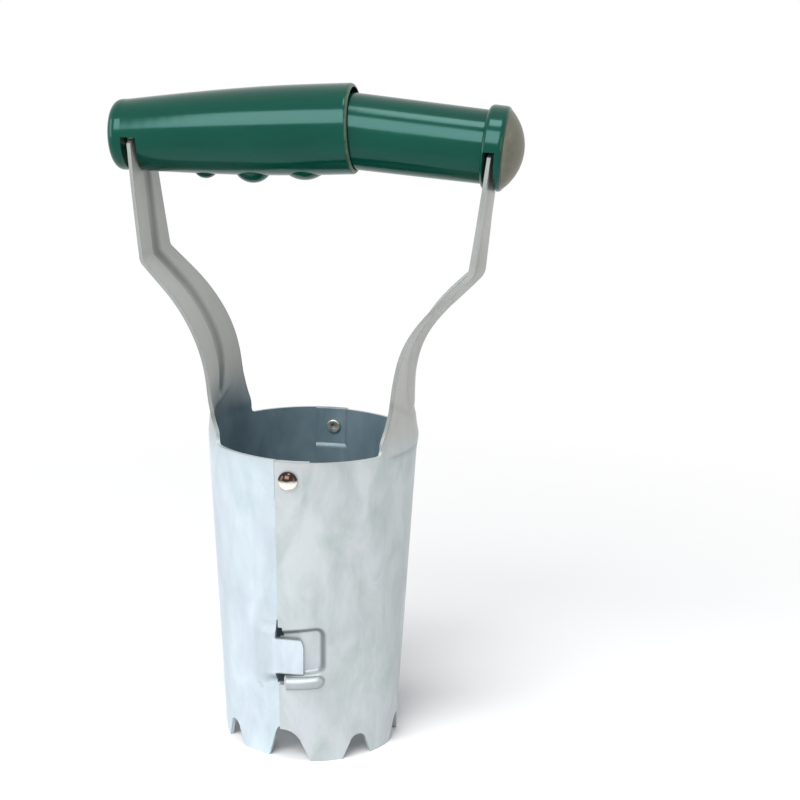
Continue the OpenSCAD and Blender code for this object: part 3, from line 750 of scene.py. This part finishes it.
# The strap by height: half its width, how round it is across (one over the radius), how far it is set in,
# and the height and half width of its rib
width_at = [(strap_z, root_half), (112, 21.3), (120, 20.6), (130, 20), (140, 19.2), (150, 17.8), (160, 16.2),
            (164, 15.5), (170, 15), (180, 14.2), (190, 13.4), (203, 12.1)]
round_at = [(strap_z, 0.02845), (109, 0.0272), (112, 0.0228), (116, 0.0168), (120, 0.0118), (126, 0.0078),
            (134, 0.0056), (145, 0.0045), (160, 0.0035), (175, 0.0015), (190, 0.0)]
inward_at = [(strap_z, 0), (112, 0.7), (118, 1.6), (125, 2.0), (135, 1.7), (145, 0.9), (156, 0)]
rib_at = [(115.6, 0), (117.4, 0.85), (122, 1.3), (130, 1.7), (140, 2.1), (150, 2.3), (160, 2.3), (170, 2.0),
          (180, 1.7), (190, 1.3), (206, 0.7)]
rib_half_at = [(115, 1.3), (120, 2.7), (132, 4.3)]
# the rib runs a little beside the strap's middle
rib_y = -1.2
# a shallow crease below the rib's end, which climbs to one edge
rib_crease_z = 114.3
rib_crease_climb = 0.4
rib_crease_depth = 0.45
# the right strap was bent a little later than the left one, which sets it in most at this height
late_bend_z = 143
late_bend_depth = 1.2
# the strap's round end, inside the grip
end_from_z = 202.7
end_r = 9.3
end_half = 8.8


def strap_half(z):
    """Half the strap's width."""
    if z > end_from_z:
        up = (z - end_from_z) / end_r
        return end_half * math.sqrt(max(0.02, 1 - up * up))
    return curve(width_at, z)


def strap_x(side, x, z):
    """The middle line's x with what the strap is set in below its bend."""
    x -= curve(inward_at, z)
    return x - late_bend_depth * swell(z - late_bend_z, 11) if side > 0 else x


def strap_point(side, a, x, z, lean):
    """Point and painted shade of the strap, beside one point of its middle line."""
    rib = curve(rib_at, z)
    rib_half = curve(rib_half_at, z)
    bow = curve(round_at, z)
    # the place across the strap, from -1 at one edge to 1 at the other
    q = -rim_r * cos(a) / root_half
    y = strap_half(z) * q
    sag = (1 - math.sqrt(1 - (bow * y)**2)) / bow if bow > 1e-5 else 0.0
    beside = y - rib_y
    crease = swell(z - rib_crease_z - rib_crease_climb * max(0.0, -beside), 1.3)
    d = sheet / 2 + rib * ease(1.12 - abs(beside) / rib_half)
    d -= rib_crease_depth * crease * (1 - ease((abs(q) - 0.75) / 0.25))
    d += root_swell(side, a, z)
    # painted shade on the rib's back flank and along the crease below the rib's end, and darker along the
    # strap's edges
    flank = (0.76 if side < 0 else 1.12) * rib_half
    painted_shade = (0.95 if beside * side > 0 else 0.12) * min(1.0, rib) * swell(abs(beside) - flank, 1.15)
    painted_shade += 0.22 * crease
    painted_shade += 0.75 * ease((abs(q) - 0.95) / 0.05) * ease((z - 106) / 8)
    # the strap comes over to the middle of the tool up to its bend
    middle_y = -shift * (1 - ease((z - rim_z) / (bend[1] - rim_z)))
    return (strap_x(side, x, z) + d * cos(lean) - sag, y + middle_y, z - d * sin(lean)), painted_shade


def row_middle(i):
    """Height of the middle of a row of faces between even levels, or else 0."""
    k = i - notch_rows
    return (levels[k] + levels[k + 1]) / 2 if 0 <= k < len(levels) - 1 else 0.0


# The pressed halves, each one smooth sheet: toothed cup wall, laps, pocket, tab and strap
def half_sheet(name, side, steel):
    places = {}
    for j, a in enumerate(angles):
        for i, z in enumerate(row_heights(a)):
            places[i, j] = cup_point(side, a, z)
    for k, (x, z, lean) in enumerate(line):
        for j in arm_columns:
            places[cup_rows + k, j] = strap_point(side, angles[j], x, z, lean)
    points = [(x * side, y * side, z) for (x, y, z), painted_shade in places.values()]
    painted_shades = [painted_shade for point, painted_shade in places.values()]
    index = {key: number for number, key in enumerate(places)}

    def face(i, j):
        return index[i, j], index[i, j + 1], index[i + 1, j + 1], index[i + 1, j]

    faces = [face(i, j) for i in range(cup_rows - 1) for j in range(len(angles) - 1)
             if not cut_out((angles[j] + angles[j + 1]) / 2, row_middle(i))]
    faces += [face(cup_rows - 1 + k, j) for k in range(len(line)) for j in arm_columns[:-1]]
    half = new_object(name, points, faces, steel, drop_loose, painted_shades)
    thicken(half, sheet, True)
    edge = half.modifiers.new("edges", "BEVEL")
    edge.width = 0.16 * mm
    edge.segments = 2
    edge.limit_method = "ANGLE"
    edge.angle_limit = math.radians(50)
    edge.harden_normals = True
    return half


# The half round bead under the pocket: open at its left end, rounded at its right
bead_r = 2.3
bead_angle = 9.4
bead_z = 28.6
bead_lean = 0.09
bead_flatness = 0.95
bead_sheet = 0.75
bead_sink = 0.25
bead_points = 17


def bead_shell(name, side, steel):
    # a flared lip, the even part and the round end, as places along the bead and shares of its radius
    stations = [(-6.6, 1.0), (-6.45, 1.06), (-6.1, 1.0)] + [(-6 + 10 * k / 12, 1.0) for k in range(13)]
    stations += [(4 + bead_r * sin(t), cos(t)) for t in range(10, 90, 10)]
    axis_r = wall_r(bead_z) - bead_sink
    out = Vector((sin(bead_angle), -cos(bead_angle), 0))
    run = Vector((cos(bead_angle), sin(bead_angle), 0))
    points = []
    painted_shades = []
    for reach, share in stations:
        r = bead_r * share
        wall = axis_r - reach * reach / (2 * axis_r)
        for k in range(bead_points):
            t = -8 + 196 * k / (bead_points - 1)
            point = out * (wall + bead_flatness * r * sin(t)) + run * reach
            z = bead_z + bead_lean * reach - r * cos(t)
            points.append((point.x * side, (point.y - shift) * side, z))
            # painted shade: the whole bead darker, most where it meets the sheet
            painted_shades.append(0.42 + 0.4 * abs(cos(t))**3)
    last = (len(stations) - 1) * bead_points
    faces = [(i + k, i + bead_points + k, i + bead_points + k + 1, i + k + 1)
             for i in range(0, last, bead_points) for k in range(bead_points - 1)]
    faces.append([last + k for k in range(bead_points)])
    bead = new_object(name, points, faces, steel, face_outwards, painted_shades)
    thicken(bead, bead_sheet, False)
    return bead


for name, side, steel, body in (
        ("left_half", -1, left_steel, "left_side"),
        ("right_half", 1, right_steel, "right_side")):
    piece = half_sheet(name + "_sheet", side, steel)
    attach(piece, body)
    bead = bead_shell(name + "_bead", side, steel)
    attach(bead, body)
    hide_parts(name)
    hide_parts(name)


# Floor: pale, keeps the object's shadow, and is white further off
def floor_surface(name):
    m, nodes, surface = material(name)
    nodes.put(surface["Base Color"], (0.93, 0.93, 0.93))
    nodes.put(surface["Roughness"], 0.9)
    nodes.put(surface["Specular IOR Level"], 0.0)
    distance = nodes.vector_math("LENGTH", nodes.coordinates()["Object"])
    far = nodes.smooth(distance, 100 * mm, 420 * mm)
    plain = nodes.tree.nodes["Principled BSDF"].outputs[0]
    white = nodes.fill(nodes.new("ShaderNodeEmission"), {"Color": (1, 1, 1), "Strength": 1.0})[0]
    nodes.finish("Material Output", nodes.times(far, nodes.seen()), plain, white)
    return m


floor_mesh = bpy.data.meshes.new("floor")
bm = bmesh.new()
bmesh.ops.create_circle(bm, cap_ends=True, radius=9000 * mm, segments=64)
bm.to_mesh(floor_mesh)
bm.free()
floor_mesh.materials.append(floor_surface("floor"))
floor = link(bpy.data.objects.new("floor", floor_mesh))
floor.location = (0, 0, -0.05 * mm)

# World: soft light on the object, white where it is seen
world = bpy.data.worlds.new("world")
bpy.context.scene.world = world
world.use_nodes = True
nodes = Nodes(world.node_tree)
soft = nodes.fill(world.node_tree.nodes["Background"], {"Color": (0.95, 0.97, 1.0), "Strength": 0.45})[0]
white = nodes.fill(nodes.new("ShaderNodeBackground"), {"Color": (1, 1, 1), "Strength": 1.0})[0]
nodes.finish("World Output", nodes.seen(), soft, white)


# Lamps: a large soft one in front above, a weaker one at each side, and one that looks into the cup
def lamp(name, place, target, width, height, power):
    light = bpy.data.lights.new(name, "AREA")
    light.shape = "RECTANGLE"
    light.size = width * mm
    light.size_y = height * mm
    light.energy = power
    thing = link(bpy.data.objects.new(name, light))
    thing.location = Vector(place) * mm
    thing.rotation_euler = (Vector(target) - Vector(place)).to_track_quat("-Z", "Y").to_euler()


lamp("key", (-170, -820, 840), (0, 0, 160), 820, 620, 11.7)
lamp("left", (-1000, -350, 450), (0, 0, 120), 500, 700, 4.0)
lamp("right", (1000, -450, 400), (0, 0, 120), 400, 600, 1.6)
lamp("inside", (50, -200, 1100), (0, 0, 50), 300, 300, 2.5)

bpy.context.scene.view_settings.view_transform = "Standard"
